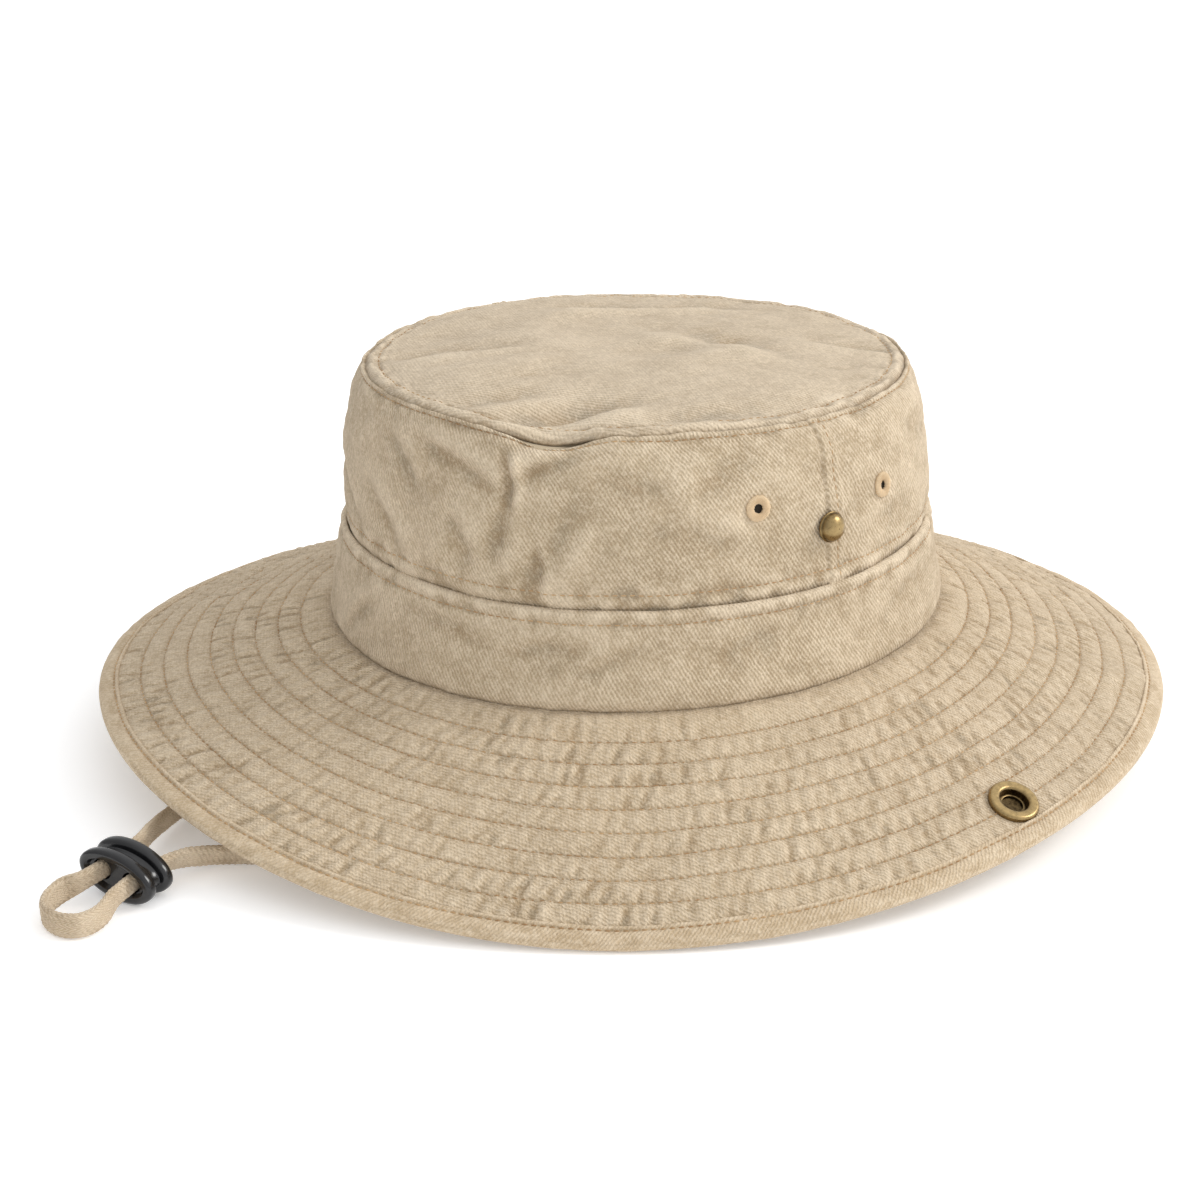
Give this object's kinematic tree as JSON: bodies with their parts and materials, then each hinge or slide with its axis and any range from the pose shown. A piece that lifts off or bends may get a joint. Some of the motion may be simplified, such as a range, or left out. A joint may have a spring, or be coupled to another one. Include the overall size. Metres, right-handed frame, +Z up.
{
  "type": "boonie hat",
  "caption": "Soft cotton twill boonie hat: oval crown, lower band, wide quilted brim whose sides fold up to brass snaps, and a flat chin cord with a sliding toggle.",
  "frame": {"origin": "on the floor, below the middle of the crown's oval and at the middle of the hat's box without the cord", "axes": "+Z up, -Y the front of the hat, +X the wearer's left"},
  "size_m": [0.3178, 0.3837, 0.1226],
  "materials": {
    "washed_twill": "washed khaki cotton twill, worn pale on the seam edges",
    "binding_twill": "bias cut khaki cotton twill tape",
    "interlining": "unbleached stiff cotton interlining",
    "sweatband_cloth": "plain woven khaki cotton",
    "seam_tape": "woven cotton seam tape",
    "eyelet_thread": "close satin-stitched thread",
    "cord_braid": "flat braided cotton tape",
    "antique_brass": "antique brass, dark in the recesses",
    "toggle_plastic": "moulded black plastic, satin gloss"
  },
  "bodies": {
    "crown": {"crown_tip": "washed_twill", "side_panel_front": "washed_twill", "side_panel_back": "washed_twill", "lower_band": "washed_twill", "sweatband": "sweatband_cloth", "tip_seam_tape": "seam_tape", "band_seam_tape": "seam_tape", "side_seam_tape_left": "seam_tape", "side_seam_tape_right": "seam_tape", "vent_eyelets": "eyelet_thread", "stud_left": "antique_brass", "stud_right": "antique_brass", "stud_cap_left": "antique_brass", "stud_cap_right": "antique_brass", "brim_top_middle": "washed_twill", "brim_interlining_middle": "interlining", "brim_under_middle": "washed_twill", "brim_binding_front": "binding_twill", "brim_binding_back": "binding_twill", "cord_tab_left": "washed_twill", "cord_tab_right": "washed_twill", "chin_cord": "cord_braid"},
    "left_brim_side": {"brim_top_left": "washed_twill", "brim_interlining_left": "interlining", "brim_under_left": "washed_twill", "brim_binding_left": "binding_twill", "socket_ring_left": "antique_brass", "socket_cap_left": "antique_brass"},
    "right_brim_side": {"brim_top_right": "washed_twill", "brim_interlining_right": "interlining", "brim_under_right": "washed_twill", "brim_binding_right": "binding_twill", "socket_ring_right": "antique_brass", "socket_cap_right": "antique_brass"},
    "toggle": {"cord_toggle": "toggle_plastic"}
  },
  "joints": [
    {"name": "left_brim_fold", "type": "hinge", "parent": "crown", "child": "left_brim_side", "pos_m": [0.09565, 0.02743, 0.03846], "axis": [0.2756, -0.9613, 0], "range_deg": [0, 122]},
    {"name": "right_brim_fold", "type": "hinge", "parent": "crown", "child": "right_brim_side", "pos_m": [-0.09565, 0.02743, 0.0372], "axis": [0.2756, 0.9613, 0], "range_deg": [0, 122]},
    {"name": "toggle_slide", "type": "slide", "parent": "crown", "child": "toggle", "axis": [0.3746, -0.9272, 0], "range_m": [-0.003, 0.003]}
  ]
}
